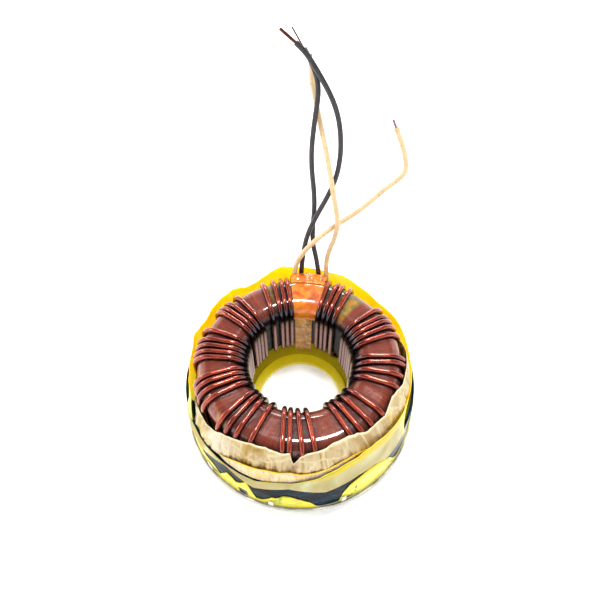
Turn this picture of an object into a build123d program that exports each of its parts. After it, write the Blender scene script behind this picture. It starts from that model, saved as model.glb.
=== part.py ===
from build123d import *
import math
import os

# Toroidal transformer standing on a shallow moulded base cup.
# Millimetres, +Z up, origin at the middle of the underside of the base disc.

# ---------------------------------------------------------------- dimensions
core_r_in = 16.0          # ring core, 50.8 mm outside, 32 mm inside
core_r_out = 25.4
core_z0, core_z1 = 6.3, 22.4
core_corner = 2.4

cwrap_r_in, cwrap_r_out = 15.75, 25.75      # tape wound over the core
cwrap_z0, cwrap_z1 = 5.95, 22.75
cwrap_corner = 2.75

iwind_r_in, iwind_r_out = 14.85, 26.8       # layer of fine enamelled wire
iwind_z0, iwind_z1 = 4.9, 23.8
iwind_corner = 3.8
iwind_start, iwind_sweep = 113.0, 294.0     # leaves a gap where the leads come out

sleeve_r_in, sleeve_r_out = 14.65, 27.0     # clear tape over the fine winding
sleeve_z0, sleeve_z1 = 4.7, 24.0
sleeve_corner = 4.0

wire_d = 1.3              # thick enamelled wire of the outer winding
wire_r_in = sleeve_r_in - wire_d / 2
wire_r_out = sleeve_r_out + wire_d / 2
wire_z0 = sleeve_z0 - wire_d / 2
wire_z1 = sleeve_z1 + wire_d / 2
wire_bend = sleeve_corner + wire_d / 2
wire_min_pitch_in = 5.55  # degrees between neighbours in the bore
wire_min_pitch_out = 2.85

# Plan angle of each turn (inner end, outer end), counter-clockwise from +X.
turn_angles = [
    (99.3, 98.6), (106.0, 102.2), (109.9, 107.2), (120.5, 113.5),
    (135.9, 132.5), (139.0, 139.4), (145.5, 143.6), (151.1, 147.0),
    (167.1, 161.5), (169.7, 168.5), (174.5, 172.7), (179.4, 177.0), (181.8, 180.9),
    (193.3, 194.8), (198.5, 198.7), (203.3, 203.3), (209.7, 209.3),
    (221.0, 223.4), (226.2, 229.0), (233.0, 235.0), (243.5, 243.5),
    (254.6, 261.2), (260.7, 264.8), (267.2, 271.5), (274.9, 278.2),
    (296.5, 298.7), (302.6, 305.0), (311.2, 311.8), (320.8, 320.6),
    (337.4, 339.3), (344.4, 347.4), (350.7, 355.3), (358.6, 358.8),
    (373.4, 375.2), (376.4, 381.1), (383.0, 385.6), (388.0, 388.8), (391.5, 394.9),
    (411.4, 417.3), (418.9, 422.6), (423.8, 425.9), (430.3, 431.5),
]

exit_tape_a0, exit_tape_a1 = 73.2, 96.2     # orange tape where the leads come out
exit_tape_t = 0.25
bore_tape_t = 0.3
pad_r_in, pad_r_out = 27.25, 29.4           # tape built up over the soldered joints
pad_z0, pad_z1 = 8.0, 19.4
pad_a0, pad_a1 = 73.0, 96.0

splice_d = 1.88
splice_z0, splice_z1 = 11.4, 16.4
lead_d = 1.4
tip_d = 0.65

spacer_z0, spacer_z1 = 2.8, 3.4
spacer_r_in, spacer_r_out = 13.8, 29.5

cup_r_in, cup_r_out = 13.3, 31.5            # base cup: floor ring and low wall
cup_wall_r_in, cup_rim_r = 30.3, 31.0       # the wall tapers towards its rim
cup_z0, cup_floor_z, cup_taper_z, cup_z1 = 0.8, 2.8, 7.0, 14.0

disc_r_in, disc_r_out, disc_t = 12.0, 32.4, 0.8
lip_r = 11.6                                # clear bore through the base
lip_neck_z = 1.2
lip_top_r, lip_top_z, lip_t = 13.1, 3.4, 0.4

band_t, band_z1 = 0.25, 6.6                 # yellow film round the cup
collar_r, collar_t = 28.4, 0.3              # cream film round the winding
collar_z0, collar_z_front, collar_z_back = 6.5, 23.0, 15.0
collar_a0, collar_a1 = 101.0, 427.0
barrier_r, barrier_t = 29.9, 0.25           # yellow film standing inside the cup wall
barrier_z_front, barrier_z_back = 14.6, 24.4

# Route of each lead from its soldered joint to its stripped end.
lead_routes = {
    "lead_cream_1": [
        (-1.87, 28.14, 16.40), (-1.87, 28.14, 22.00), (-0.95, 28.82, 27.69), (1.12, 29.20, 31.68),
        (4.00, 30.23, 34.86), (8.66, 32.97, 37.22), (13.74, 35.00, 39.44), (18.58, 37.11, 42.21),
        (22.75, 39.26, 45.43), (25.97, 40.37, 47.52), (27.92, 41.25, 49.18), (28.30, 42.34, 51.24),
        (27.65, 43.80, 53.99), (26.25, 45.45, 57.12), (24.88, 46.87, 59.79)],
    "lead_black_1": [
        (0.25, 28.20, 16.40), (0.25, 28.20, 22.00), (0.90, 30.45, 30.01), (2.08, 32.34, 35.63),
        (4.69, 34.51, 40.78), (7.65, 37.10, 45.48), (9.79, 39.47, 50.00), (10.58, 41.91, 54.61),
        (10.51, 44.27, 59.09), (9.72, 46.56, 63.44), (7.99, 48.62, 67.35), (5.63, 50.53, 70.95),
        (3.22, 52.25, 74.21), (1.01, 53.69, 76.93), (-1.08, 54.48, 78.42)],
    "lead_black_2": [
        (5.62, 27.63, 16.40), (5.62, 27.63, 22.00), (4.67, 30.22, 27.79), (3.56, 32.14, 32.00),
        (3.57, 34.47, 36.40), (3.98, 36.88, 40.94), (3.79, 39.22, 45.36), (3.12, 41.74, 50.12),
        (3.02, 44.20, 54.75), (3.47, 46.58, 59.24), (4.15, 48.89, 63.60), (4.72, 50.91, 67.42),
        (4.24, 52.67, 70.73), (2.76, 54.28, 73.78), (0.98, 55.63, 76.32)],
    "lead_cream_2": [
        (7.68, 27.13, 16.40), (7.68, 27.13, 22.00), (7.42, 28.93, 27.53), (8.23, 30.08, 31.33),
        (9.65, 31.05, 35.19), (10.31, 32.07, 39.60), (9.62, 33.84, 43.83), (8.60, 36.16, 48.08),
        (7.75, 39.52, 51.97), (6.77, 43.41, 55.36), (5.74, 46.99, 58.32), (4.83, 50.16, 61.55),
        (3.83, 52.48, 65.28), (2.84, 54.31, 68.92), (2.76, 56.17, 72.43)],
}
tips = {"tip_cream_1": ("lead_cream_1", 2.2, tip_d), "tip_black_1": ("lead_black_1", 4.8, 0.8),
        "tip_black_2": ("lead_black_2", 5.6, 0.4), "tip_cream_2": ("lead_cream_2", 1.9, tip_d)}

# ---------------------------------------------------------------- helpers
def polar(r, a, z):
    return (r * math.cos(math.radians(a)), r * math.sin(math.radians(a)), z)


def rounded(r0, r1, z0, z1, c):
    return Plane.XZ * Pos((r0 + r1) / 2, (z0 + z1) / 2) * RectangleRounded(r1 - r0, z1 - z0, c)


def poly(points):
    return Plane.XZ * make_face(Polyline(*points, close=True))


def ring(face, start=0.0, sweep=360.0):
    return Rot(0, 0, start) * revolve(face, Axis.Z, sweep)


def tube(points, d, scale=0.45):
    radii = []
    for a, b, c in zip(points, points[1:], points[2:]):
        u, v = Vector(b) - Vector(a), Vector(c) - Vector(b)
        radii.append(scale * min(u.length, v.length) / math.tan(math.radians(u.get_angle(v)) / 2))
    path = FilletPolyline(*points, radius=radii)
    start = Plane(origin=path @ 0, z_dir=path % 0)
    return sweep(start * Circle(d / 2), path=path), path, radii


parts = {}

# ---------------------------------------------------------------- core and inner layers
core_face = rounded(core_r_in, core_r_out, core_z0, core_z1, core_corner)
parts["ferrite_core"] = ring(core_face)

cwrap_outer = rounded(cwrap_r_in, cwrap_r_out, cwrap_z0, cwrap_z1, cwrap_corner)
parts["core_wrap"] = ring(cwrap_outer - core_face)

iwind_outer = rounded(iwind_r_in, iwind_r_out, iwind_z0, iwind_z1, iwind_corner)
parts["inner_winding"] = ring(iwind_outer - cwrap_outer, iwind_start, iwind_sweep)

sleeve_outer = rounded(sleeve_r_in, sleeve_r_out, sleeve_z0, sleeve_z1, sleeve_corner)
parts["winding_sleeve"] = ring(sleeve_outer - iwind_outer)

# ---------------------------------------------------------------- outer winding
def spread(values, pitch):
    v = list(values)
    for _ in range(400):
        for i in range(len(v) - 1):
            gap = pitch - (v[i + 1] - v[i])
            if gap > 1e-6:
                v[i] -= gap / 2
                v[i + 1] += gap / 2
    return v


inner = spread([a for a, b in turn_angles], wire_min_pitch_in)
outer = spread([b for a, b in turn_angles], wire_min_pitch_out)
start_a = math.degrees(math.atan2(28.14, -1.87))
route = [polar(28.2, start_a, splice_z0), polar(28.2, start_a, wire_z0)]
for a, b in zip(inner, outer):
    route += [polar(wire_r_in, a, wire_z0), polar(wire_r_in, a, wire_z1),
              polar(wire_r_out, b, wire_z1)]
    if b != outer[-1]:
        route.append(polar(wire_r_out, b, wire_z0))
route.append(polar(wire_r_out, outer[-1], splice_z1))
winding_path = FilletPolyline(*route, radius=wire_bend)
winding_start = Plane(origin=winding_path @ 0, z_dir=winding_path % 0)
parts["outer_winding"] = sweep(winding_start * Circle(wire_d / 2), path=winding_path)

# ---------------------------------------------------------------- tapes at the lead exit
tape_outer = rounded(sleeve_r_in - exit_tape_t, sleeve_r_out + exit_tape_t,
                     sleeve_z0 - exit_tape_t, sleeve_z1 + exit_tape_t, sleeve_corner + exit_tape_t)
keep = (poly([(14.0, 20.0), (20.0, 20.0), (20.0, 5.0), (30.0, 5.0), (30.0, 26.0), (14.0, 26.0)]))
tape_face = (tape_outer - sleeve_outer) & keep
parts["exit_tape"] = ring(tape_face, exit_tape_a0, exit_tape_a1 - exit_tape_a0)

parts["bore_tape"] = ring(poly([(sleeve_r_in - bore_tape_t, 8.7), (sleeve_r_in, 8.7),
                                (sleeve_r_in, 19.9), (sleeve_r_in - bore_tape_t, 19.9)]), 75.0, 20.0)

# Soldered joints in sleeves: three in line, one beside the end of the thick wire.
joints = []
for name in ("lead_cream_1", "lead_black_1", "lead_black_2"):
    x, y, z = lead_routes[name][0]
    joints.append(Pos(x, y, splice_z0) * extrude(Circle(splice_d / 2), splice_z1 - splice_z0))
x, y, z = lead_routes["lead_cream_2"][0]
lead_a = math.degrees(math.atan2(y, x))
mid_a = (lead_a + outer[-1] - 360) / 2
joints.append(Rot(0, 0, mid_a) * Pos(28.2, 0, splice_z0) *
              extrude(RectangleRounded(splice_d - 0.01, 3.1, 0.9), splice_z1 - splice_z0))
parts["lead_splices"] = Compound(label="lead_splices", children=joints)

# ---------------------------------------------------------------- leads
lead_solids = {}
for name, points in lead_routes.items():
    solid, path, radii = tube(points, lead_d)
    lead_solids[name] = solid
    parts[name] = solid
    print(name, "length %.1f" % path.length, "volume %.2f / %.2f" %
          (solid.volume, math.pi * lead_d ** 2 / 4 * path.length),
          "radii", [round(r, 1) for r in radii])
for name, (lead, length, d) in tips.items():
    a, b = Vector(lead_routes[lead][-2]), Vector(lead_routes[lead][-1])
    parts[name] = Plane(origin=b, z_dir=(b - a)) * extrude(Circle(d / 2), length)

# Tape pad, with the joints, the leads and the wire start buried in it.
pad = ring(poly([(pad_r_in, pad_z0), (pad_r_out, pad_z0), (pad_r_out, pad_z1), (pad_r_in, pad_z1)]),
           pad_a0, pad_a1 - pad_a0)
for j in joints:
    pad -= j
for name in lead_routes:
    x, y, z = lead_routes[name][0]
    x2, y2, z2 = lead_routes[name][1]
    run = Vector(x2 - x, y2 - y, z2 - z)
    pad -= Plane(origin=(x, y, z), z_dir=run) * extrude(Circle(lead_d / 2), run.length)
pad -= Pos(*polar(28.2, start_a, 0)) * Pos(0, 0, 4) * extrude(Circle(wire_d / 2), splice_z0 - 4)
pad -= Pos(*polar(wire_r_out, outer[-1], 0)) * Pos(0, 0, 4) * extrude(Circle(wire_d / 2 + 0.02), 18)
parts["lead_tape_pad"] = pad

# ---------------------------------------------------------------- films
def slanted(face, z_front, z_back, half, start=0.0, sweep=360.0):
    shell = ring(face, start, sweep)
    slope = math.degrees(math.atan2(z_back - z_front, 2 * half))
    cutter = Pos(0, 0, (z_front + z_back) / 2) * Rot(slope, 0, 0) * Pos(0, 0, 40) * Box(120, 120, 80)
    return shell - cutter


parts["collar_film"] = slanted(
    poly([(collar_r, collar_z0), (collar_r + collar_t, collar_z0),
          (collar_r + collar_t, 26.0), (collar_r, 26.0)]),
    collar_z_front, collar_z_back, collar_r, collar_a0, collar_a1 - collar_a0)
parts["barrier_film"] = slanted(
    poly([(barrier_r, cup_floor_z), (barrier_r + barrier_t, cup_floor_z),
          (barrier_r + barrier_t, 30.0), (barrier_r, 30.0)]),
    barrier_z_front, barrier_z_back, barrier_r)

# ---------------------------------------------------------------- base
parts["spacer_ring"] = ring(poly([(spacer_r_in, spacer_z0), (spacer_r_out, spacer_z0),
                                  (spacer_r_out, spacer_z1), (spacer_r_in, spacer_z1)]))
cup = ring(poly([(cup_r_in, cup_z0), (cup_r_out, cup_z0), (cup_r_out, cup_taper_z),
                 (cup_rim_r, cup_z1), (cup_wall_r_in, cup_z1), (cup_wall_r_in, cup_floor_z),
                 (cup_r_in, cup_floor_z)]))
rim = [e for e in cup.edges().filter_by(GeomType.CIRCLE) if abs(e.center().Z - cup_z1) < 0.01]
cup = fillet(rim, 0.3)
parts["base_cup"] = cup
parts["base_band"] = ring(poly([(cup_r_out, disc_t), (cup_r_out + band_t, disc_t),
                                (cup_r_out + band_t, band_z1), (cup_r_out, band_z1)]))
parts["bore_lip"] = ring(poly([(lip_r, 0), (disc_r_in, 0), (disc_r_in, lip_neck_z),
                               (lip_top_r + lip_t, lip_top_z), (lip_top_r, lip_top_z),
                               (lip_r, lip_neck_z)]))
parts["base_disc"] = ring(poly([(disc_r_in, 0), (disc_r_out, 0), (disc_r_out, disc_t - 0.25),
                                (disc_r_out - 0.25, disc_t), (disc_r_in, disc_t)]))
tabs = []
for a, width, height in ((221.4, 1.8, 3.2), (256.5, 1.3, 3.0), (290.8, 1.2, 3.4)):
    half = math.degrees(width / 2 / cup_r_out)
    tabs.append(ring(poly([(cup_r_out + band_t, disc_t), (cup_r_out + 2 * band_t, disc_t),
                           (cup_r_out + 2 * band_t, disc_t + height),
                           (cup_r_out + band_t, disc_t + height)]), a - half, 2 * half))
parts["rim_tabs"] = Compound(label="rim_tabs", children=tabs)

# ---------------------------------------------------------------- export
os.makedirs("parts", exist_ok=True)
for name, shape in parts.items():
    export_step(shape, "parts/%s.step" % name)
print("outer winding wire length %.0f mm, volume ratio %.4f" % (
    winding_path.length,
    parts["outer_winding"].volume / (math.pi * wire_d ** 2 / 4 * winding_path.length)))
print(len(parts), "nodes")
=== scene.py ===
import math

import bpy
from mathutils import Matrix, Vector, noise


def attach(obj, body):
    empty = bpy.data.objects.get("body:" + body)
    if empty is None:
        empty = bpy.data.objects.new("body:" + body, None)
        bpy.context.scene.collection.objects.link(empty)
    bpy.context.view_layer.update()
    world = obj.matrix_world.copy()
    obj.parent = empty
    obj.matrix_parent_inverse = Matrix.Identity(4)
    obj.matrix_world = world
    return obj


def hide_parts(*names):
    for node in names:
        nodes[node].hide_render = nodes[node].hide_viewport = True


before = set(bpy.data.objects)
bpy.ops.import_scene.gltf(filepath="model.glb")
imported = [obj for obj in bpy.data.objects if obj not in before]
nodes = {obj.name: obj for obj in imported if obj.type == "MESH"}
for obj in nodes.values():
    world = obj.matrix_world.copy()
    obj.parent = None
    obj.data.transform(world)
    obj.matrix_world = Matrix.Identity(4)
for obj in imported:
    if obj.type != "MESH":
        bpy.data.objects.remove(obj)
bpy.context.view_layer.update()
scene = bpy.context.scene
scene.view_settings.view_transform = "Standard"

# ---------------------------------------------------------------- camera
cam_data = bpy.data.cameras.new("camera")
cam_data.lens = 33.6
cam_data.sensor_width = 36.0
cam_data.clip_start = 0.005
camera = bpy.data.objects.new("camera", cam_data)
camera.location = (0.0, -0.07620, 0.14827)
camera.rotation_euler = (math.radians(37.17), 0.0, 0.0)
scene.collection.objects.link(camera)
scene.camera = camera


# ---------------------------------------------------------------- node helpers
def srgb(h):
    h = h.lstrip("#")
    out = []
    for i in (0, 2, 4):
        c = int(h[i:i + 2], 16) / 255
        out.append(c / 12.92 if c <= 0.04045 else ((c + 0.055) / 1.055) ** 2.4)
    return (*out, 1.0)


class Mat:
    def __init__(self, name, **values):
        self.m = bpy.data.materials.new(name)
        self.m.use_nodes = True
        self.t = self.m.node_tree
        self.t.nodes.clear()
        self.out = self.t.nodes.new("ShaderNodeOutputMaterial")
        self.b = self.t.nodes.new("ShaderNodeBsdfPrincipled")
        self.t.links.new(self.b.outputs[0], self.out.inputs[0])
        for key, value in values.items():
            self.b.inputs[key.replace("_", " ")].default_value = value
        self.obj = self.node("ShaderNodeTexCoord").outputs["Object"]
        self.uv = None

    def node(self, kind, props=None, **ins):
        n = self.t.nodes.new(kind)
        for key, value in (props or {}).items():
            setattr(n, key, value)
        for key, value in ins.items():
            s = n.inputs[int(key[1:])] if key[0] == "i" and key[1:].isdigit() else n.inputs[key.replace("_", " ")]
            if isinstance(value, bpy.types.NodeSocket):
                self.t.links.new(value, s)
            else:
                s.default_value = value
        return n

    def set(self, key, value):
        s = self.b.inputs[key]
        if isinstance(value, bpy.types.NodeSocket):
            self.t.links.new(value, s)
        else:
            s.default_value = value

    def math(self, op, a, b=0.0, c=0.0, clamp=False):
        return self.node("ShaderNodeMath", {"operation": op, "use_clamp": clamp}, i0=a, i1=b, i2=c).outputs[0]

    def range(self, v, a, b, c=0.0, d=1.0, kind="LINEAR"):
        return self.node("ShaderNodeMapRange", {"interpolation_type": kind, "clamp": True},
                         i0=v, i1=a, i2=b, i3=c, i4=d).outputs[0]

    def mix(self, f, a, b, blend="MIX"):
        n = self.t.nodes.new("ShaderNodeMix")
        n.data_type = "RGBA"
        n.blend_type = blend
        for i, v in ((0, f), (6, a), (7, b)):
            if isinstance(v, bpy.types.NodeSocket):
                self.t.links.new(v, n.inputs[i])
            else:
                n.inputs[i].default_value = v
        return n.outputs[2]

    def noise(self, scale, vec=None, detail=3.0, rough=0.5, distort=0.0):
        return self.node("ShaderNodeTexNoise", None, Vector=vec or self.obj, Scale=scale, Detail=detail,
                         Roughness=rough, Distortion=distort).outputs["Fac"]

    def stretch(self, scale):
        return self.node("ShaderNodeMapping", None, Vector=self.obj, Scale=scale).outputs[0]

    def ramp(self, f, stops, kind="LINEAR"):
        n = self.t.nodes.new("ShaderNodeValToRGB")
        n.color_ramp.interpolation = kind
        e = n.color_ramp.elements
        e[0].position, e[0].color = stops[0]
        e[1].position, e[1].color = stops[-1]
        for p, c in stops[1:-1]:
            x = e.new(p)
            x.color = c
        self.t.links.new(f, n.inputs[0])
        return n.outputs[0]

    def bump(self, height, strength, distance):
        n = self.node("ShaderNodeBump", None, Height=height, Strength=strength, Distance=distance)
        self.t.links.new(n.outputs[0], self.b.inputs["Normal"])
        return n

    def xyz(self):
        s = self.node("ShaderNodeSeparateXYZ", None, i0=self.obj)
        return s.outputs[0], s.outputs[1], s.outputs[2]

    def theta(self):
        x, y, _ = self.xyz()
        return self.math("ARCTAN2", y, x)

    def sector(self, mid, half, soft):
        """1 inside mid +- half degrees round Z, fading over soft degrees."""
        x, y, _ = self.xyz()
        r = self.math("SQRT", self.math("ADD", self.math("MULTIPLY", x, x), self.math("MULTIPLY", y, y)))
        c = self.math("ADD", self.math("MULTIPLY", x, math.cos(math.radians(mid))),
                      self.math("MULTIPLY", y, math.sin(math.radians(mid))))
        c = self.math("DIVIDE", c, self.math("MAXIMUM", r, 0.0001))
        return self.range(c, math.cos(math.radians(half + soft)), math.cos(math.radians(max(half - soft, 0.1))),
                          kind="SMOOTHSTEP")

    def ao_shade(self, distance, lo=0.35, hi=0.85):
        """Ambient-occlusion mask for painted shade: 0 deep in a gap, 1 in the open."""
        n = self.node("ShaderNodeAmbientOcclusion", {"samples": 6}, Distance=distance)
        return self.range(n.outputs["AO"], lo, hi)

    def height(self, a, b):
        return self.range(self.xyz()[2], a, b, kind="SMOOTHSTEP")


def paint(name, mat):
    o = nodes[name]
    for s in o.material_slots:
        s.material = mat.m
    if not o.material_slots:
        o.data.materials.append(mat.m)
    for p in o.data.polygons:
        p.use_smooth = True
    return o


# ---------------------------------------------------------------- cords
lead_routes = {
    "lead_cream_1": [
        (-1.87, 28.14, 16.40), (-1.87, 28.14, 22.00), (-0.95, 28.82, 27.69), (1.12, 29.20, 31.68),
        (4.00, 30.23, 34.86), (8.66, 32.97, 37.22), (13.74, 35.00, 39.44), (18.58, 37.11, 42.21),
        (22.75, 39.26, 45.43), (25.97, 40.37, 47.52), (27.92, 41.25, 49.18), (28.30, 42.34, 51.24),
        (27.65, 43.80, 53.99), (26.25, 45.45, 57.12), (24.88, 46.87, 59.79)],
    "lead_black_1": [
        (0.25, 28.20, 16.40), (0.25, 28.20, 22.00), (0.90, 30.45, 30.01), (2.08, 32.34, 35.63),
        (4.69, 34.51, 40.78), (7.65, 37.10, 45.48), (9.79, 39.47, 50.00), (10.58, 41.91, 54.61),
        (10.51, 44.27, 59.09), (9.72, 46.56, 63.44), (7.99, 48.62, 67.35), (5.63, 50.53, 70.95),
        (3.22, 52.25, 74.21), (1.01, 53.69, 76.93), (-1.08, 54.48, 78.42)],
    "lead_black_2": [
        (5.62, 27.63, 16.40), (5.62, 27.63, 22.00), (4.67, 30.22, 27.79), (3.56, 32.14, 32.00),
        (3.57, 34.47, 36.40), (3.98, 36.88, 40.94), (3.79, 39.22, 45.36), (3.12, 41.74, 50.12),
        (3.02, 44.20, 54.75), (3.47, 46.58, 59.24), (4.15, 48.89, 63.60), (4.72, 50.91, 67.42),
        (4.24, 52.67, 70.73), (2.76, 54.28, 73.78), (0.98, 55.63, 76.32)],
    "lead_cream_2": [
        (7.68, 27.13, 16.40), (7.68, 27.13, 22.00), (7.42, 28.93, 27.53), (8.23, 30.08, 31.33),
        (9.65, 31.05, 35.19), (10.31, 32.07, 39.60), (9.62, 33.84, 43.83), (8.60, 36.16, 48.08),
        (7.75, 39.52, 51.97), (6.77, 43.41, 55.36), (5.74, 46.99, 58.32), (4.83, 50.16, 61.55),
        (3.83, 52.48, 65.28), (2.84, 54.31, 68.92), (2.76, 56.17, 72.43)],
}
lead_d = 1.4

black = Mat("black_insulation", Roughness=0.42, Specular_IOR_Level=0.45)
fac = black.noise(900.0, detail=4.0)
black.set("Base Color", black.mix(fac, srgb("#1C191B"), srgb("#353033")))
black.bump(black.noise(1500.0), 0.25, 0.0001)

cream = Mat("cream_insulation", Roughness=0.5, Specular_IOR_Level=0.4)
fac = cream.noise(420.0, detail=4.0)
col = cream.mix(fac, srgb("#CBA476"), srgb("#EED2A8"))
cream.set("Base Color", cream.mix(cream.range(cream.noise(1600.0), 0.58, 0.75), col, srgb("#A98460")))
cream.bump(cream.noise(1500.0), 0.25, 0.0001)

for name, points in lead_routes.items():
    curve = bpy.data.curves.new("wire_" + name[5:], "CURVE")
    curve.dimensions = "3D"
    curve.resolution_u = 8
    curve.bevel_depth = lead_d / 2000
    curve.bevel_resolution = 5
    curve.use_fill_caps = True
    spline = curve.splines.new("NURBS")
    spline.points.add(len(points) - 1)
    for p, q in zip(spline.points, points):
        p.co = (q[0] / 1000, q[1] / 1000, q[2] / 1000, 1.0)
    spline.order_u = 3
    spline.use_endpoint_u = True
    wire = bpy.data.objects.new("wire_" + name[5:], curve)
    scene.collection.objects.link(wire)
    is_black = "black" in name
    curve.materials.append((black if is_black else cream).m)
    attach(wire, "root")
    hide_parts(name)
    x, y, z = points[0]

# ---------------------------------------------------------------- metals and windings
wire = Mat("enamelled_copper", Metallic=0.6, Roughness=0.24, Coat_Weight=0.8, Coat_Roughness=0.05, Coat_IOR=1.45)
f1 = wire.noise(260.0, detail=3.0)
col = wire.mix(wire.range(f1, 0.3, 0.7), srgb("#74220F"), srgb("#A23A1A"))
# painted shade: the wire colour darkens towards the bottom of the winding
col = wire.mix(wire.height(0.0085, 0.021), srgb("#2E1018"), col)
wx, wy, wz = wire.xyz()
rr = wire.math("SQRT", wire.math("ADD", wire.math("MULTIPLY", wx, wx), wire.math("MULTIPLY", wy, wy)))
# painted shade in the bore: near black at the inner top shoulder, a dim mauve further down
wire_bore_shade = wire.range(rr, 0.0148, 0.0172)
low = wire.range(wz, 0.0215, 0.0175)
col = wire.mix(wire_bore_shade, wire.mix(low, srgb("#180C18"), srgb("#8A5656")), col)
# painted shade: ambient occlusion darkens the wire where turns touch each other and the tape
col = wire.mix(wire.ao_shade(0.0013, 0.3, 0.88), srgb("#100810"), col)
wire.set("Base Color", col)
wire.bump(wire.noise(700.0, detail=2.0), 0.12, 0.0001)
paint("outer_winding", wire)

# Fine winding under clear tape: radial wire streaks, tape laps, bare taped core near the leads, and painted shade in
# the bore and beside the wire turns.
def taped(name):
    m = Mat(name, Roughness=0.3, Specular_IOR_Level=0.15, Coat_Roughness=0.035, Coat_IOR=1.55)
    th = m.theta()
    x, y, z = m.xyz()
    r = m.math("SQRT", m.math("ADD", m.math("MULTIPLY", x, x), m.math("MULTIPLY", y, y)))
    lean = m.math("ADD", th, m.math("MULTIPLY", r, 7.0))
    across = m.node("ShaderNodeCombineXYZ", None, i0=m.math("MULTIPLY", lean, 26.0),
                    i1=m.math("MULTIPLY", z, 26.0), i2=m.math("MULTIPLY", r, 30.0)).outputs[0]
    fine = m.noise(3.4, across, detail=5.0, rough=0.8)
    wide = m.noise(0.55, across, detail=2.0)
    col = m.ramp(fine, [(0.25, srgb("#34100A")), (0.42, srgb("#682314")), (0.58, srgb("#84361E")), (0.8, srgb("#A8562A"))])
    col = m.mix(m.range(wide, 0.56, 0.74, 0.0, 0.5), col, srgb("#7A3A1C"))
    patch = m.noise(95.0, detail=3.0)
    col = m.mix(m.range(patch, 0.62, 0.74, 0.0, 0.35), col, srgb("#96561E"))
    bare = m.sector(79.0, 34.0, 2.0)
    olive = m.ramp(m.noise(210.0, detail=4.0), [(0.35, srgb("#4A3C12")), (0.5, srgb("#74581A")), (0.6, srgb("#9A7A26")), (0.72, srgb("#C06A18"))])
    col = m.mix(bare, col, olive)
    out = m.math("MULTIPLY", m.range(r, 0.0246, 0.0264), m.range(m.noise(130.0, detail=2.0), 0.5, 0.6))
    out = m.math("MULTIPLY", out, m.sector(218.0, 22.0, 10.0))
    col = m.mix(out, col, srgb("#C8951E"))
    # painted shade: the tape goes near black inside the top of the bore, and its coat is turned down there
    sleeve_bore_shade = m.math("MULTIPLY", m.range(r, 0.0180, 0.0158), m.range(z, 0.0236, 0.0215))
    col = m.mix(sleeve_bore_shade, col, m.mix(m.range(m.noise(260.0), 0.5, 0.66), srgb("#0E0E14"), srgb("#3A3A22")))
    # painted shade beside the wire turns, from ambient occlusion
    col = m.mix(m.ao_shade(0.0022, 0.38, 0.93), srgb("#0A0C16"), col)
    m.set("Coat Weight", m.range(sleeve_bore_shade, 0.0, 1.0, 0.9, 0.08))
    m.set("Base Color", col)
    lap = m.node("ShaderNodeCombineXYZ", None, i0=m.math("MULTIPLY", lean, 5.0), i1=m.math("MULTIPLY", r, 20.0),
                 i2=0.0).outputs[0]
    steps = m.node("ShaderNodeTexVoronoi", {"feature": "F1"}, Vector=lap, Scale=1.7).outputs["Distance"]
    wrinkle = m.noise(330.0, detail=3.0, rough=0.6, distort=0.8)
    hgt = m.math("ADD", m.math("MULTIPLY", steps, 0.7), m.math("MULTIPLY", wrinkle, 0.8))
    hgt = m.math("ADD", hgt, m.math("MULTIPLY", fine, 0.15))
    m.bump(hgt, 0.7, 0.0003)
    return m


sleeve = taped("clear_tape_over_fine_wire")
paint("winding_sleeve", sleeve)
fine = taped("fine_wire")
paint("inner_winding", fine)

ferrite = Mat("ferrite", Roughness=0.6)
ferrite.set("Base Color", ferrite.mix(ferrite.noise(800.0, detail=5.0), srgb("#2A2A2C"), srgb("#3C3A3A")))
ferrite.bump(ferrite.noise(1800.0), 0.3, 0.0001)
paint("ferrite_core", ferrite)

wrap = Mat("core_tape", Roughness=0.35, Coat_Weight=0.5, Coat_Roughness=0.2)
wrap.set("Base Color", wrap.mix(wrap.noise(180.0, detail=4.0), srgb("#8A6A1E"), srgb("#C89A34")))
wrap.bump(wrap.noise(420.0), 0.3, 0.0001)
paint("core_wrap", wrap)

orange = Mat("orange_tape", Roughness=0.3, Specular_IOR_Level=0.3, Coat_Weight=0.7, Coat_Roughness=0.05)
f1 = orange.noise(320.0, detail=4.0, distort=0.6)
col = orange.ramp(f1, [(0.3, srgb("#9A3A08")), (0.46, srgb("#CC5E0C")), (0.6, srgb("#E0821A")), (0.78, srgb("#B07A2C"))])
orange.set("Base Color", col)
orange.bump(orange.node("ShaderNodeTexVoronoi", {"feature": "F1"}, Vector=orange.obj, Scale=420.0).outputs["Distance"], 0.6, 0.0002)
paint("exit_tape", orange)
paint("lead_tape_pad", orange)

# painted light: the bore tape glows through a little emission, though it is no lamp
tan_glow = Mat("bore_tape", Roughness=0.3, Specular_IOR_Level=0.3, Coat_Weight=0.2, Coat_Roughness=0.1, Emission_Strength=0.12)
tan_glow.set("Base Color", tan_glow.ramp(tan_glow.noise(420.0, detail=4.0, distort=1.0),
                               [(0.32, srgb("#8A5414")), (0.5, srgb("#C88E3C")), (0.68, srgb("#EEC27A"))]))
tan_glow.set("Emission Color", srgb("#C08030"))
tan_glow.bump(tan_glow.node("ShaderNodeTexVoronoi", {"feature": "F1"}, Vector=tan_glow.obj, Scale=500.0).outputs["Distance"], 0.8, 0.0002)

joint = Mat("joint_sleeve", Roughness=0.4)
joint.set("Base Color", joint.mix(joint.noise(700.0), srgb("#C8B894"), srgb("#E8DCC0")))
joint.bump(joint.noise(900.0), 0.2, 0.0001)
paint("lead_splices", joint)

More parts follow.
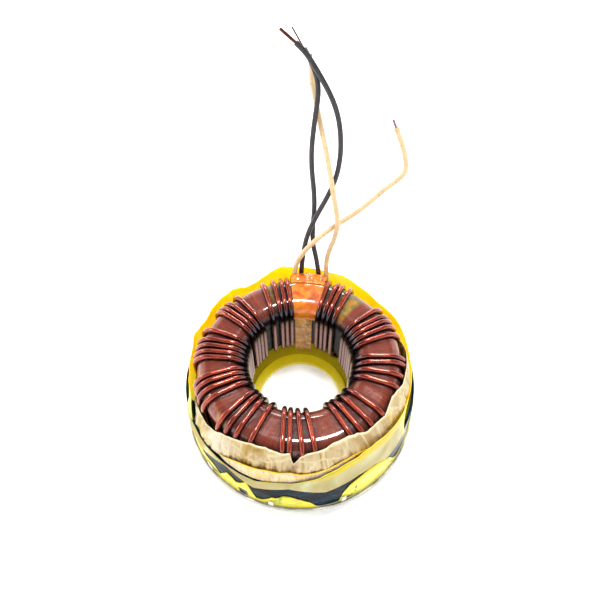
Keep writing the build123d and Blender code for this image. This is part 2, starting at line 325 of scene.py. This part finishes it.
copper = Mat("bare_copper", Metallic=0.8, Roughness=0.32)
copper.set("Base Color", copper.mix(copper.noise(900.0, detail=4.0), srgb("#3C1C14"), srgb("#6E3A26")))
copper.bump(copper.noise(1800.0), 0.3, 0.0001)
tinned = Mat("purple_enamel_tip", Metallic=0.2, Roughness=0.4, Coat_Weight=0.5)
tinned.set("Base Color", tinned.mix(tinned.noise(900.0, detail=4.0), srgb("#6A3A52"), srgb("#A06878")))
tinned.bump(tinned.noise(1800.0), 0.3, 0.0001)
paint("tip_cream_1", tinned)
paint("tip_cream_2", tinned)
paint("tip_black_1", copper)
paint("tip_black_2", copper)

# ---------------------------------------------------------------- base
navy = Mat("navy_moulding", Roughness=0.16, IOR=1.12, Specular_IOR_Level=0.3, Specular_Tint=(0.6, 0.8, 1.0, 1.0))
f1 = navy.noise(120.0, navy.stretch((1.0, 1.0, 2.2)), detail=4.0, distort=1.2)
col = navy.ramp(f1, [(0.3, srgb("#02060A")), (0.48, srgb("#06141F")), (0.6, srgb("#0B2636")), (0.74, srgb("#162850"))])
col = navy.mix(navy.math("MULTIPLY", navy.sector(200.0, 22.0, 6.0), 0.6), col, srgb("#0C2A26"))
navy.set("Base Color", col)
navy.bump(navy.noise(170.0, detail=2.0), 0.5, 0.0006)
paint("base_cup", navy)

clear = Mat("clear_moulding", Roughness=0.08, Coat_Weight=1.0, Coat_Roughness=0.03, IOR=1.5, Alpha=0.42)
clear.set("Base Color", clear.mix(clear.noise(300.0, detail=3.0), srgb("#DAD7C8"), srgb("#F4F2EA")))
clear.bump(clear.noise(260.0), 0.15, 0.0002)
paint("base_disc", clear)

# painted light: the bore lip glows yellow through emission, though it is no lamp
lip_glow = Mat("bore_lip_glow_moulding", Roughness=0.25, IOR=1.3, Coat_Weight=0.3, Coat_Roughness=0.05, Emission_Strength=0.16)
lip_glow.set("Emission Color", srgb("#E8D018"))
lip_glow.set("Base Color", lip_glow.mix(lip_glow.noise(260.0, detail=3.0), srgb("#D6C210"), srgb("#F0DC24")))
lip_glow.bump(lip_glow.noise(300.0), 0.2, 0.0002)
paint("bore_lip", lip_glow)

# painted light: the spacer ring glows yellow through emission to lift it out of shade; it is no lamp
board_glow = Mat("spacer_board", Roughness=0.6, Emission_Strength=0.22)
board_glow.set("Emission Color", srgb("#D8BE14"))
board_glow.set("Base Color", board_glow.mix(board_glow.noise(500.0, detail=5.0), srgb("#A89A14"), srgb("#D6C628")))
board_glow.bump(board_glow.noise(1200.0), 0.3, 0.0001)
paint("spacer_ring", board_glow)

tab = Mat("white_film", Roughness=0.3, Coat_Weight=0.6)
tab.set("Base Color", tab.mix(tab.noise(900.0, detail=3.0), srgb("#C9C4B0"), srgb("#F4F0E4")))
tab.bump(tab.noise(700.0), 0.4, 0.0002)
paint("rim_tabs", tab)


# ---------------------------------------------------------------- films
def lookup(table, a):
    """Smooth-ish interpolation of (angle, values...) rows, angles in degrees rising."""
    if a <= table[0][0]:
        return table[0][1:]
    for p, q in zip(table, table[1:]):
        if a <= q[0]:
            t = (a - p[0]) / (q[0] - p[0])
            return tuple(u + (v - u) * t for u, v in zip(p[1:], q[1:]))
    return table[-1][1:]


def tri(x):
    x = x - math.floor(x)
    return 4 * abs(x - 0.5) - 1


WAVES = [(1.0, 0.31, 0.13), (0.63, -0.52, 0.57), (1.37, 0.22, 0.81), (0.29, 0.93, 0.35), (1.9, -0.75, 0.07), (2.7, 1.1, 0.43)]


def crumple(s, h, cell, seed):
    """Facets like creased film: s and h in mm along and up the film, cell in mm. -1 to 1."""
    v = 0.0
    wob = noise.noise(Vector((s / cell * 0.35, h / cell * 0.35, seed)))
    for k, (a, b, p) in enumerate(WAVES):
        v += tri((a * s + b * h) / cell * 0.55 + p + seed * 0.37 + 0.6 * wob) / (1.0 + 0.55 * k)
    return v / 3.2


def grid(name, a0, a1, na, nv, f, mat, body="root", replaces=(), thick=0.00010, closed=False):
    """A sheet from f(angle in degrees, v 0..1) -> (x, y, z) in mm, with UVs of angle and height."""
    verts, faces, uvs = [], [], []
    for i in range(na + 1):
        a = a0 + (a1 - a0) * i / na
        for j in range(nv + 1):
            x, y, z = f(a, j / nv)
            verts.append((x / 1000, y / 1000, z / 1000))
            uvs.append((a / 360, j / nv))
    for i in range(na):
        for j in range(nv):
            p = i * (nv + 1) + j
            faces.append((p, p + nv + 1, p + nv + 2, p + 1))
    mesh = bpy.data.meshes.new(name)
    mesh.from_pydata(verts, [], faces)
    layer = mesh.uv_layers.new(name="UVMap")
    for poly in mesh.polygons:
        poly.use_smooth = True
        for li in poly.loop_indices:
            layer.data[li].uv = uvs[mesh.loops[li].vertex_index]
    o = bpy.data.objects.new(name, mesh)
    scene.collection.objects.link(o)
    mesh.materials.append(mat.m)
    if closed:
        w = o.modifiers.new("weld", "WELD")
        w.merge_threshold = 0.00001
    s = o.modifiers.new("thickness", "SOLIDIFY")
    s.thickness = thick
    s.offset = 0.0
    dg = bpy.context.evaluated_depsgraph_get()
    done = bpy.data.meshes.new_from_object(o.evaluated_get(dg))
    o.modifiers.clear()
    o.data = done
    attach(o, body)
    if replaces:
        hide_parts(*replaces)
    return o


def at(a, r, z):
    return (r * math.cos(math.radians(a)), r * math.sin(math.radians(a)), z)


def film_mat(name, light, mid, deep, edge, alpha, patches=None, edge_width=0.03):
    m = Mat(name, Roughness=0.3, Coat_Weight=0.25, Coat_Roughness=0.08, IOR=1.3)
    uv = m.node("ShaderNodeTexCoord").outputs["UV"]
    v = m.node("ShaderNodeSeparateXYZ", None, i0=uv).outputs[1]
    f1 = m.noise(110.0, detail=5.0, rough=0.6, distort=1.0)
    z = m.xyz()[2]
    drawn = m.node("ShaderNodeCombineXYZ", None, i0=m.math("MULTIPLY", m.theta(), 17.0), i1=m.math("MULTIPLY", z, 85.0),
                   i2=0.0).outputs[0]
    fold = m.noise(1.0, drawn, detail=4.0, rough=0.6, distort=1.4)
    # painted shade and highlight: the fold pattern that also drives the bump sets deep, mid and light bands across the
    # film
    col = m.ramp(fold, [(0.30, deep), (0.44, mid), (0.56, light), (0.66, mid), (0.78, light)])
    col = m.mix(m.range(f1, 0.52, 0.66, 0.0, 0.6), col, deep)
    col = m.mix(m.math("MULTIPLY", m.sector(208.0, 22.0, 8.0), 0.65), col, srgb("#E2D8C6"))
    # painted highlight: lines along the creases are lightened towards the edge colour
    crease_highlight = m.node("ShaderNodeTexVoronoi", {"feature": "DISTANCE_TO_EDGE"}, Vector=m.obj, Scale=170.0,
                     Randomness=1.0).outputs["Distance"]
    col = m.mix(m.range(crease_highlight, 0.0, 0.07, 0.6, 0.0), col, edge)
    a = m.range(f1, 0.3, 0.6, alpha[0], alpha[1])
    if patches:
        for (mid_a, half, lo, hi, colour, amount) in patches:
            k = m.sector(mid_a, half, half * 0.6)
            z = m.xyz()[2]
            k = m.math("MULTIPLY", k, m.range(z, lo - 0.0008, lo + 0.0008))
            k = m.math("MULTIPLY", k, m.range(z, hi + 0.0008, hi - 0.0008))
            k = m.math("MULTIPLY", k, m.range(m.noise(260.0, detail=3.0), 0.35, 0.55))
            k = m.math("MULTIPLY", k, amount)
            col = m.mix(k, col, colour)
    rim = m.range(v, 1.0 - edge_width, 1.0 - edge_width * 0.35)
    col = m.mix(rim, col, edge)
    m.set("Base Color", col)
    thin = m.range(v, 0.55, 0.9, 0.0, alpha[2])
    a = m.math("SUBTRACT", a, m.math("MULTIPLY", thin, m.range(fold, 0.4, 0.55)))
    m.set("Alpha", m.math("MAXIMUM", a, m.math("MULTIPLY", rim, 0.9)))
    facet = m.node("ShaderNodeTexVoronoi", {"feature": "F1"}, Vector=m.obj, Scale=230.0).outputs["Distance"]
    h = m.math("ADD", m.math("MULTIPLY", facet, 1.2), m.math("MULTIPLY", fold, 1.4))
    m.bump(m.math("ADD", h, m.math("MULTIPLY", m.noise(480.0, detail=4.0, distort=0.6), 0.5)), 0.7, 0.0005)
    return m


# Cream film gathered over the outer shoulder of the winding.
collar_top = [
    (101, 14.0, 28.5), (140, 14.0, 28.5), (185, 13.5, 28.5), (196, 15.5, 28.6), (203, 18.0, 28.5), (209, 19.2, 28.4),
    (216.5, 19.3, 28.4), (222, 20.6, 28.3), (227.5, 22.4, 27.9), (236.8, 23.5, 27.2), (244, 24.1, 26.6), (252, 24.4, 26.3),
    (260.8, 24.0, 26.7), (265, 24.2, 26.5), (267, 22.0, 28.1), (270, 23.6, 27.1), (273.7, 24.2, 26.5), (279, 24.3, 26.4),
    (287.5, 24.9, 25.4), (296.8, 25.0, 25.3), (302.1, 24.8, 25.6), (307.3, 24.3, 26.4), (314.4, 24.4, 26.2),
    (320.4, 24.2, 26.5), (326.3, 24.6, 26.0), (331.5, 24.8, 25.6), (336.8, 24.5, 26.1), (341.9, 23.8, 26.9),
    (350, 23.4, 27.2), (360, 22.6, 27.7), (370, 20.8, 28.3), (380, 17.5, 28.5), (395, 14.5, 28.5), (427, 14.0, 28.5)]
front_edge = [  # inner film turn: top edge
    (205, 8.0, 30.4), (213, 8.4, 30.3), (218, 9.8, 30.2), (223, 12.4, 30.2), (228, 14.2, 30.2), (232.5, 15.7, 30.2), (237, 17.4, 30.2),
    (241.8, 18.7, 30.2), (251.9, 19.7, 30.1), (258.9, 20.5, 30.0), (265.6, 20.7, 29.9), (270, 19.2, 29.7),
    (275, 19.0, 29.4), (280, 19.6, 29.3), (284, 20.4, 29.3), (289, 21.8, 29.2), (295, 22.8, 29.1), (303, 22.0, 29.1), (312, 19.0, 29.1)]


def skin(z):
    return 28.38 if z < 20 else 23 + math.sqrt(max(5.38 ** 2 - (z - 20) ** 2, 0.0))


def collar(a, v):
    top_z, top_r = lookup(collar_top, a)
    front = max(0.0, math.cos(math.radians(a - 270))) ** 0.5
    side = min(1.0, max(0.0, (a - 190) / 16)) * min(1.0, max(0.0, (385 - a) / 25))
    z0 = 6.8 + 5.6 * side
    z = z0 + (top_z - z0) * v
    if top_z > 20:
        r = skin(z) + 0.12
    else:
        r = 28.55
    room = lookup([(101, 28.9), (190, 28.9), (200, 29.7), (208, 30.7), (222, 30.7), (236, 29.75), (262, 29.6), (285, 28.95), (330, 29.0),
                   (350, 28.95), (427, 28.9)], a)[0]
    r += (1.0 - v) ** 1.1 * (room - 28.6) * side
    s = math.radians(a) * 28.5
    h = v * 11.0
    pleat = abs(crumple(s, h * 0.35, 4.2, 3.1)) * 1.5 + abs(crumple(s * 1.4, h, 2.6, 7.7)) * 0.7
    r += pleat * (0.12 + 0.88 * math.sin(math.pi * min(1.0, v * 0.9 + 0.1)) ** 0.8) * (0.35 + 0.65 * front)
    r = min(r, room + 1.1 * max(0.0, v - 0.45))
    z += 0.25 * v * crumple(s, 0.0, 3.0, 1.7)
    return at(a, r, z)


cream_film = film_mat("cream_film", srgb("#DCC9A0"), srgb("#C2A878"), srgb("#98783C"), srgb("#E8D8AC"), (0.88, 0.99, 0.32),
                      patches=[(213.0, 6.0, 0.010, 0.0205, srgb("#B99A3A"), 0.75),
                               (247.0, 5.0, 0.015, 0.0245, srgb("#A8842E"), 0.85),
                               (222.0, 3.0, 0.012, 0.0185, srgb("#C9B26A"), 0.5),
                               (267.0, 2.2, 0.014, 0.0225, srgb("#8A4A20"), 0.8),
                               (287.0, 6.0, 0.014, 0.0200, srgb("#E8C030"), 0.45),
                               (310.0, 12.0, 0.012, 0.0190, srgb("#CDB466"), 0.5),
                               (322.0, 4.0, 0.014, 0.0235, srgb("#D8BC40"), 0.5)])
grid("collar_sheet", 101, 427, 900, 26, collar, cream_film, replaces=["collar_film"])

# Film standing inside the cup wall: an outer turn all the way round, an inner turn at the front.
outer_edge = [
    (8, 19.9, 29.5), (16, 20.3, 29.8), (23, 20.3, 30.2), (31, 20.7, 30.2), (42, 19.8, 30.2), (50, 20.9, 30.2), (58, 21.8, 30.2), (65, 23.3, 30.2),
    (73, 22.9, 30.2), (94, 24.0, 30.2), (99, 24.7, 30.2), (106, 23.5, 30.2), (110, 22.0, 30.2), (115, 20.3, 30.2), (122, 20.1, 30.2),
    (130, 22.3, 30.2), (133, 21.9, 30.2), (138, 21.5, 30.2), (146, 20.9, 30.1), (154, 20.2, 29.8), (164.7, 22.0, 29.6),
    (167.7, 21.0, 29.5), (176, 20.0, 29.3), (184, 20.4, 29.2), (191.7, 19.0, 29.3), (198, 16.6, 29.8), (205, 14.2, 30.8), (219, 13.0, 31.15),
    (230, 13.8, 31.0), (240, 13.6, 30.95), (249, 13.4, 30.95), (254, 14.2, 30.8), (258.9, 15.2, 30.75), (265.6, 15.6, 30.7), (270, 16.2, 30.5), (274.5, 16.8, 30.3),
    (279.2, 17.6, 30.2), (286.4, 19.6, 30.0), (293.5, 21.6, 29.7), (299.6, 22.6, 29.6), (306.9, 23.2, 29.5), (313.7, 22.6, 29.5),
    (320, 22.2, 29.5), (328, 21.6, 29.5), (338, 20.8, 29.4), (350, 20.0, 29.35), (360, 19.8, 29.4), (368, 19.9, 29.5)]
# lower edge of the front film, a many-sided outline that hangs just over the cup rim
skirt = [(188, 13.2, 31.4), (204, 13.2, 31.5), (219, 12.4, 32.1), (234, 13.6, 31.3), (249.2, 11.8, 32.2), (265, 13.8, 31.3), (281.1, 12.6, 32.1),
         (297, 14.2, 31.3), (306, 14.6, 31.3), (313.1, 14.0, 31.9), (322, 14.6, 31.5), (336, 14.4, 31.3)]


def outer_turn(a, v):
    w = (a - 8) % 360 + 8
    top_z, top_r = lookup(outer_edge, w)
    k = min(1.0, max(0.0, (w - 184) / 12)) * min(1.0, max(0.0, (340 - w) / 12))
    sk_z, sk_r = lookup(skirt, w)
    z0 = 3.0 + (sk_z - 3.0) * k
    r0 = 30.15 + (sk_r - 30.15) * k
    z = z0 + (top_z - z0) * v
    r = r0 + (top_r - r0) * v ** 0.8
    s = math.radians(w) * 30.2
    seam = math.sin(math.radians(w - 8) / 2)
    r += crumple(s, z * 0.8, 7.0, 5.3) * 0.42 * v * seam + crumple(s, z, 3.1, 2.9) * 0.16 * seam * v
    z += 0.35 * v * noise.noise(Vector((s * 0.35, 0.0, 4.4))) * seam
    return at(w, r, z)


def inner_turn(a, v):
    top_z, top_r = lookup(front_edge, a)
    z0, r0 = lookup([(205, 7.0, 30.25), (213, 8.0, 30.8), (219, 9.4, 31.0), (223, 11.0, 31.0), (230, 11.6, 31.0), (249, 11.6, 30.95),
                     (258, 12.4, 30.7), (270, 12.4, 30.3), (290, 12.4, 29.4), (312, 12.4, 29.25)], a)
    z0 = min(z0, top_z - 0.4)
    z = z0 + (top_z - z0) * v
    r = r0 + (top_r - r0) * v ** 0.9
    s = math.radians(a) * 30.0
    r += crumple(s, z, 5.0, 9.1) * 0.22 * v
    return at(a, r, z)


# painted light: the film glows yellow away from the front through emission, standing for light passing through it; it
# is no lamp
yellow_glow = Mat("yellow_film", Roughness=0.3, Coat_Weight=0.15, Coat_Roughness=0.08, IOR=1.25, Subsurface_Weight=0.5, Subsurface_Scale=0.002, Emission_Strength=0.55)
uv = yellow_glow.node("ShaderNodeTexCoord").outputs["UV"]
v = yellow_glow.node("ShaderNodeSeparateXYZ", None, i0=uv).outputs[1]
f1 = yellow_glow.noise(95.0, detail=4.0, distort=0.8)
bright = yellow_glow.ramp(f1, [(0.3, srgb("#E8B80A")), (0.5, srgb("#F6D614")), (0.7, srgb("#FBE65A"))])
# partly painted sheen: the pale tan at the front stands for the film's surface sheen as well as the copper showing
# through it
soft = yellow_glow.ramp(f1, [(0.3, srgb("#B08C50")), (0.5, srgb("#C6A874")), (0.7, srgb("#DCC49A"))])
front = yellow_glow.sector(264.0, 66.0, 8.0)
left = yellow_glow.sector(196.0, 8.0, 6.0)
col = yellow_glow.mix(left, bright, srgb("#EBDD7C"))
col = yellow_glow.mix(front, col, soft)
band = yellow_glow.math("MULTIPLY", front, yellow_glow.math("MULTIPLY", yellow_glow.range(v, 0.62, 0.72), yellow_glow.sector(308.0, 26.0, 8.0)))
col = yellow_glow.mix(band, col, srgb("#E8B410"))
rim = yellow_glow.range(v, 0.94, 0.965)
col = yellow_glow.mix(rim, col, srgb("#F2CC1C"))
# painted shadow: a dark amber line under the top edge at the front
shadow_line = yellow_glow.math("MULTIPLY", yellow_glow.range(v, 0.90, 0.92), yellow_glow.range(v, 0.945, 0.93))
col = yellow_glow.mix(yellow_glow.math("MULTIPLY", shadow_line, front), col, srgb("#8A5A10"))
yellow_glow.set("Base Color", col)
yellow_glow.set("Emission Color", yellow_glow.mix(front, bright, (0, 0, 0, 1)))
yellow_glow.bump(yellow_glow.noise(420.0, detail=4.0, rough=0.6, distort=0.5), 0.4, 0.00018)
grid("barrier_outer_turn", 8, 368, 900, 22, outer_turn, yellow_glow, replaces=["barrier_film"])

inner_film = film_mat("inner_film", srgb("#DACAA8"), srgb("#C6AE86"), srgb("#AE9058"), srgb("#EABE14"), (0.95, 1.0, 0.0), edge_width=0.10)
grid("barrier_inner_turn", 205, 312, 360, 12, inner_turn, inner_film)

# Yellow film round the cup, with a wavy top and gaps.
band_top = [
    (0, 8.5), (14, 6.0), (30, 8.2), (50, 5.5), (72, 8.0), (95, 5.0), (118, 8.4), (140, 5.5), (162, 8.3), (184, 6.0), (196, 8.0), (205, 9.5),
    (212, 8.2), (218, 6.8), (224, 6.9), (228.6, 3.8), (231, 6.5), (234, 9.3), (237, 8.6), (239, 7.2), (241.6, 8.2), (244.7, 10.6),
    (246.6, 7.2), (249, 2.2), (252, 2.6), (255, 4.5), (257.2, 6.5), (259.1, 6.5), (262.4, 8.7), (265.5, 8.6), (270, 7.1), (274.6, 4.8),
    (277.5, 1.6), (280, 0.95), (288.5, 0.95), (290.2, 7.0), (293.8, 10.4), (297.5, 12.0), (302.5, 13.4), (308.3, 13.2), (312.8, 11.6),
    (317, 9.5), (321, 5.0), (325, 2.2), (331, 1.6), (334, 3.4), (338, 9.0), (344, 12.4), (350, 11.0), (355, 9.0), (360, 8.5)]


def wave_band(a, v):
    (top,) = lookup(band_top, a % 360)
    z = 0.85 + (max(top, 0.95) - 0.85) * v
    edge = 31.62 if z < 7.0 else 31.62 - (z - 7.0) * 0.5 / 7.0
    return at(a, edge + 0.05 * noise.noise(Vector((math.radians(a) * 12, v * 3, 0.5))), z)


lime = Mat("band_film", Roughness=0.2, IOR=1.2, Coat_Weight=0.1, Coat_Roughness=0.04)
f1 = lime.noise(75.0, detail=4.0, distort=1.6)
col = lime.ramp(f1, [(0.3, srgb("#8E9A18")), (0.42, srgb("#CBC424")), (0.58, srgb("#E6D830")), (0.74, srgb("#F2E678"))])
col = lime.mix(lime.range(lime.noise(210.0, detail=2.0), 0.62, 0.72, 0.0, 0.7), col, srgb("#D89A28"))
for a_mid, half, z_lo, z_hi in ((242.3, 2.2, 0.9, 4.6), (225.4, 2.0, 2.2, 3.8), (253.8, 1.2, 1.4, 2.4), (293.8, 1.5, 1.6, 3.2),
                                (296.6, 0.35, 3.6, 8.0)):
    lz = lime.xyz()[2]
    k = lime.math("MULTIPLY", lime.range(lz, z_lo / 1000 - 0.0002, z_lo / 1000 + 0.0002),
                  lime.range(lz, z_hi / 1000 + 0.0002, z_hi / 1000 - 0.0002))
    k = lime.math("MULTIPLY", k, lime.sector(a_mid, half, half * 0.5))
    k = lime.math("MULTIPLY", k, lime.range(lime.noise(520.0, detail=2.0), 0.42, 0.48))
    col = lime.mix(k, col, srgb("#0A1A22"))
lime.set("Base Color", col)
lime.bump(lime.noise(220.0, detail=2.0), 0.35, 0.0004)
grid("wavy_band", 0, 360, 900, 6, wave_band, lime, replaces=["base_band"], closed=True)

# Crinkled tape in the bore, a little loose at its lower end.
def bore_strip(a, v):
    s = math.radians(a) * 14.4
    z = 4.6 + 16.2 * v
    r = 14.3 - 0.25 * (1 - v) + 0.22 * crumple(s * 1.3, z, 2.4, 6.6)
    r += 0.4 * max(0.0, v - 0.82) / 0.18
    return at(a, min(r, 14.6 if v < 0.9 else 14.9), z + 0.3 * noise.noise(Vector((s, 1.0, 0.0))) * (1 - v))


grid("bore_tape_strip", 76.5, 95.5, 44, 60, bore_strip, tan_glow, replaces=["bore_tape"])

# Orange tape drawn up over the foot of the leads.
hump_profile = [(0.0, 24.0, 24.36), (0.3, 26.0, 24.38), (0.55, 27.6, 24.0), (0.75, 28.6, 22.9), (0.88, 29.3, 21.0), (1.0, 29.5, 18.6)]


def hump(a, v):
    r, z = lookup(hump_profile, v)
    s = math.radians(a) * 28.0
    lift = 0.5 * abs(noise.noise(Vector((s * 0.55, v * 4.0, 2.2)))) + 0.18 * crumple(s, v * 9.0, 2.2, 4.1)
    k = math.sin(math.pi * v)
    u = (a - 73.4) / 22.6
    e = 1 - min(1.0, 7 * u, 7 * (1 - u)) ** 0.5
    return at(a, r + (lift * 0.6 - 0.9 * e) * k, z + (lift * 0.8 - 1.1 * e) * k)


grid("exit_tape_hump", 73.4, 96.0, 70, 30, hump, orange)

# Pale line of the clear rim, a small rolled edge on top of the disc.
def tube_ring(name, R, z, r, mat, na=360, nc=10):
    def f(a, v):
        c = v * 2 * math.pi
        return at(a, R + r * math.cos(c), z + r * math.sin(c))
    return grid(name, 0, 360, na, nc, f, mat, thick=0.00002, closed=True)


rim_mat = Mat("rim_moulding", Roughness=0.12, Coat_Weight=1.0, Coat_Roughness=0.03)
rim_mat.set("Base Color", rim_mat.mix(rim_mat.range(rim_mat.noise(140.0, detail=3.0), 0.45, 0.6), srgb("#8E8C74"), srgb("#EEEBDC")))
rim_mat.bump(rim_mat.noise(260.0), 0.2, 0.0002)
tube_ring("disc_rim", 32.05, 0.82, 0.22, rim_mat)

# ---------------------------------------------------------------- floor and light
floor_mesh = bpy.data.meshes.new("floor")
floor_mesh.from_pydata([(-3, -3, 0), (3, -3, 0), (3, 3, 0), (-3, 3, 0)], [], [(0, 1, 2, 3)])
floor = bpy.data.objects.new("floor", floor_mesh)
floor.location = (0, 0, -0.0002)
scene.collection.objects.link(floor)
fm = Mat("floor", Roughness=0.9, Specular_IOR_Level=0.1, Emission_Strength=0.32)
fm.set("Emission Color", (1, 1, 1, 1))
fm.set("Base Color", fm.mix(fm.noise(6.0), (0.93, 0.93, 0.93, 1), (0.95, 0.95, 0.95, 1)))
floor_mesh.materials.append(fm.m)

wall_mesh = bpy.data.meshes.new("backdrop")
wv = [(2.6 * math.cos(math.radians(t * 5)), 2.6 * math.sin(math.radians(t * 5)), z) for t in range(72) for z in (-0.01, 1.7)]
wall_mesh.from_pydata(wv, [], [(2 * t, 2 * ((t + 1) % 72), 2 * ((t + 1) % 72) + 1, 2 * t + 1) for t in range(72)])
wall = bpy.data.objects.new("backdrop", wall_mesh)
scene.collection.objects.link(wall)
wm = Mat("backdrop", Roughness=0.9, Specular_IOR_Level=0.0, Emission_Strength=0.5)
wm.set("Emission Color", (1, 1, 1, 1))
wm.set("Base Color", wm.mix(wm.noise(3.0), (0.9, 0.9, 0.9, 1), (0.93, 0.93, 0.93, 1)))
wall_mesh.materials.append(wm.m)

world = bpy.data.worlds.new("world")
world.use_nodes = True
world.node_tree.nodes["Background"].inputs[0].default_value = (1, 1, 1, 1)
world.node_tree.nodes["Background"].inputs[1].default_value = 0.34
scene.world = world


def aim(o, target):
    o.rotation_euler = (Vector(target) - Vector(o.location)).to_track_quat("-Z", "Y").to_euler()


sun_data = bpy.data.lights.new("sun", "SUN")
sun_data.energy = 2.9
sun_data.angle = math.radians(13)
sun = bpy.data.objects.new("sun", sun_data)
sun.location = (0, 0, 1)
sun.rotation_euler = (math.radians(-13), math.radians(3), 0)
scene.collection.objects.link(sun)
for name, loc, size, power in (("back_panel", (0.05, 0.62, 0.45), (0.22, 0.12), 2.0),
                               ("left_panel", (-0.6, 0.1, 0.35), (0.2, 0.2), 1.2)):
    d = bpy.data.lights.new(name, "AREA")
    d.shape = "RECTANGLE"
    d.size, d.size_y = size
    d.energy = power
    o = bpy.data.objects.new(name, d)
    o.location = loc
    aim(o, (0, 0, 0.01))
    scene.collection.objects.link(o)
